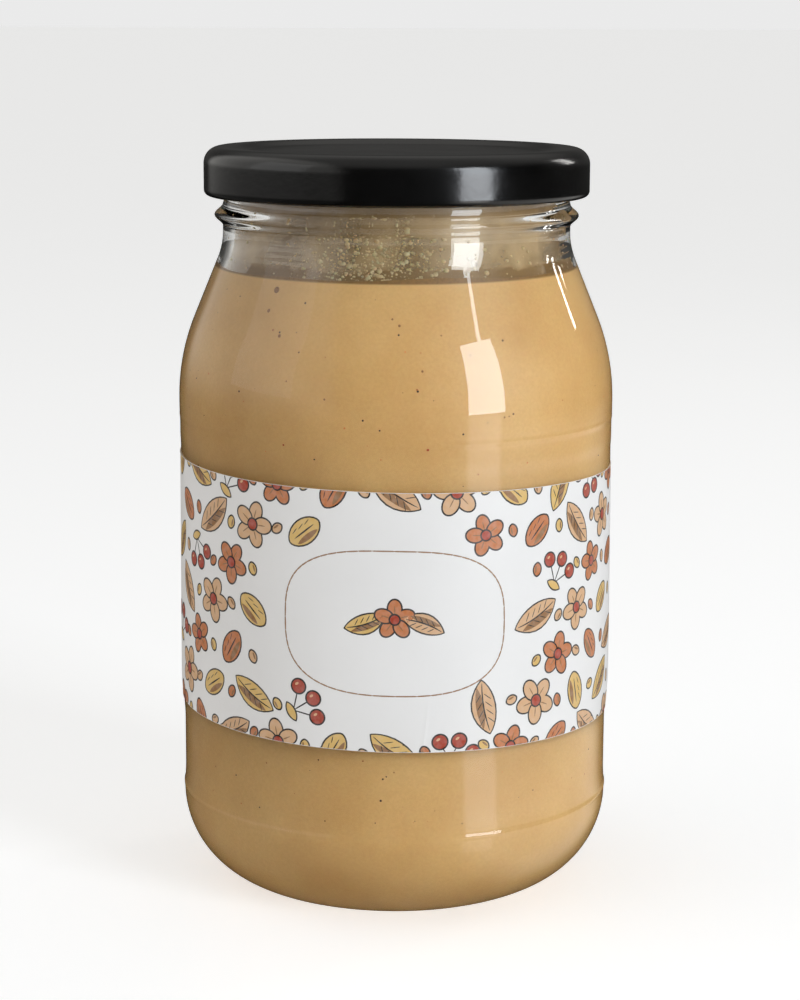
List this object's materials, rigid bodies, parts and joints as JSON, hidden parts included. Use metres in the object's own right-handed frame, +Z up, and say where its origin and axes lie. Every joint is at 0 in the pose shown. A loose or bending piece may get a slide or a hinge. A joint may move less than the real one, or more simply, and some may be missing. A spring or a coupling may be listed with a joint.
{
  "type": "peanut butter jar",
  "caption": "Clear round glass jar of smooth peanut butter with a sloping shoulder, beaded neck, black twist-off steel lid and wrap-round paper label.",
  "frame": {"origin": "centre of the ring that the jar stands on, at table height", "axes": "+Z up along the jar's axis; -Y is the front, the middle of the label; +X to the right seen from the front"},
  "size_m": [0.098, 0.0977, 0.1662],
  "materials": {
    "clear_glass": "clear, polished, faintly rippled flint glass",
    "peanut_butter": "smooth tan peanut butter with fine dark specks, oily against the glass",
    "black_lacquer": "glossy black lacquer on pressed tinplate",
    "printed_paper": "semi-matt white paper printed in ochre and brown"
  },
  "bodies": {
    "root": {"glass_jar": "clear_glass", "peanut_butter": "peanut_butter", "lid": "black_lacquer", "label": "printed_paper"}
  },
  "joints": []
}
